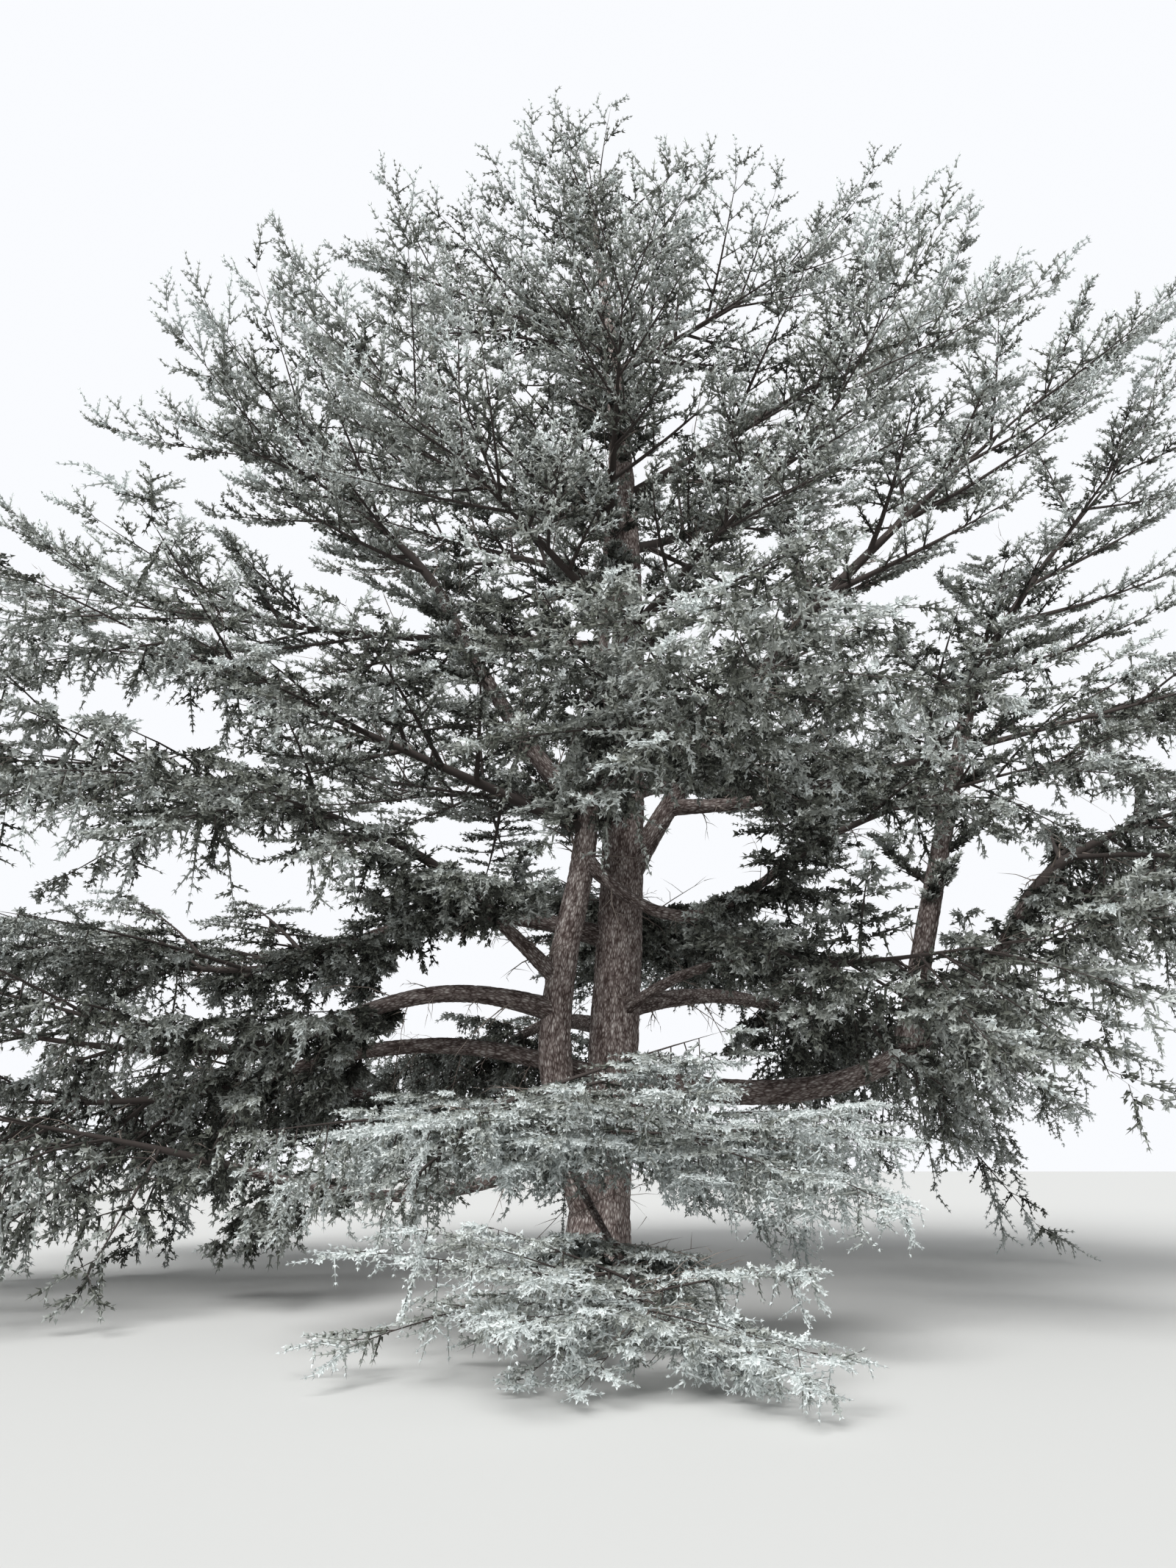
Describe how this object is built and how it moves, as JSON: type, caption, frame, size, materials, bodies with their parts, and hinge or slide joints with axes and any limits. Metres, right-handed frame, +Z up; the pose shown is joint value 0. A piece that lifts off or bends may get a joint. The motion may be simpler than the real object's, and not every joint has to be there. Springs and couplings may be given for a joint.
{
  "type": "blue cedar tree",
  "caption": "Broad old evergreen conifer with paired stems, a flared foot, long level boughs, flat shelves of silver-blue needles and low weeping skirts.",
  "frame": {"origin": "middle of the flat cut under the trunk, at ground level", "axes": "+Z up the trunk; -Y towards the picture's viewer; +X to the viewer's right"},
  "size_m": [22.3619, 19.9246, 19.6347],
  "materials": {
    "bark": "rough scaly bark, dark grey-brown with paler flakes, nearly black on the upper boughs",
    "foliage": "matt silver-blue needles in short rosettes, greyer and greener inside the crown"
  },
  "bodies": {
    "root": {"trunk": "bark", "front_stem": "bark", "bough_right_low": "bark", "bough_right_leader": "bark", "bough_right_rising": "bark", "bough_right_mid": "bark", "bough_right_dip": "bark", "bough_left_rising": "bark", "bough_left_fork": "bark", "bough_left_long": "bark", "bough_left_low": "bark", "bough_left_lower": "bark", "bough_left_rear": "bark", "bough_left_sweep": "bark", "bough_left_high": "bark", "bough_front_low": "bark", "bough_front_drop": "bark", "bough_front_mid": "bark", "bough_front_right": "bark", "bough_back_right": "bark", "bough_back": "bark", "bough_back_left": "bark", "bough_back_low_right": "bark", "bough_back_low_left": "bark", "foliage_crown_top": "foliage", "foliage_top_left": "foliage", "foliage_top_right": "foliage", "foliage_top_back": "foliage", "foliage_top_front": "foliage", "foliage_upper_left": "foliage", "foliage_upper_front_left": "foliage", "foliage_upper_front_right": "foliage", "foliage_upper_right": "foliage", "foliage_upper_back_right": "foliage", "foliage_upper_back": "foliage", "foliage_upper_back_left": "foliage", "foliage_right_low": "foliage", "foliage_right_leader": "foliage", "foliage_right_rising": "foliage", "foliage_right_mid": "foliage", "foliage_right_dip": "foliage", "foliage_left_rising": "foliage", "foliage_left_mid": "foliage", "foliage_left_fork": "foliage", "foliage_left_long": "foliage", "foliage_left_low": "foliage", "foliage_left_lower": "foliage", "foliage_left_rear": "foliage", "foliage_left_sweep": "foliage", "foliage_left_high": "foliage", "foliage_front_low": "foliage", "foliage_front_drop": "foliage", "foliage_front_mid": "foliage", "foliage_front_right": "foliage", "foliage_back_right": "foliage", "foliage_back": "foliage", "foliage_back_left": "foliage", "foliage_back_low_right": "foliage", "foliage_back_low_left": "foliage", "foliage_upper_front": "foliage"}
  },
  "joints": []
}
